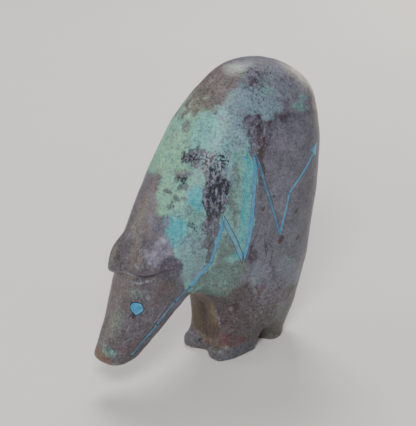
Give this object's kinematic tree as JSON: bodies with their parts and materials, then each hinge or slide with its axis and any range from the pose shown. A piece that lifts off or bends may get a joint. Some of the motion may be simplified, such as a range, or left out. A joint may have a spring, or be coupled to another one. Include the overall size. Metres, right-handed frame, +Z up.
{
  "type": "carved stone bear fetish",
  "caption": "Small standing stone bear with a high humped back and a lowered head, inlaid turquoise eyes and a zigzag heart line that ends in an arrowhead.",
  "frame": {"origin": "on the ground under the middle of the bounding box, between the feet", "axes": "+Z up; the nose points towards -X; the bear's left side, with the heart line, faces -Y"},
  "size_m": [0.06, 0.0238, 0.0675],
  "materials": {
    "mottled_stone": "hand-rubbed matrix stone, satin: blue-green turquoise towards the head and mauve-grey at the rump, with dark and rust-brown mottling",
    "turquoise": "polished blue turquoise inlay, set flush"
  },
  "bodies": {
    "root": {"bear_body": "mottled_stone", "eye_left": "turquoise", "eye_right": "turquoise", "heartline_jaw_front": "turquoise", "heartline_jaw_back": "turquoise", "heartline_throat": "turquoise", "heartline_neck": "turquoise", "heartline_rise_1": "turquoise", "heartline_fall_1": "turquoise", "heartline_rise_2": "turquoise", "heartline_fall_2": "turquoise", "heartline_rise_3": "turquoise", "heartline_shaft": "turquoise", "heartline_arrowhead": "turquoise"}
  },
  "joints": []
}
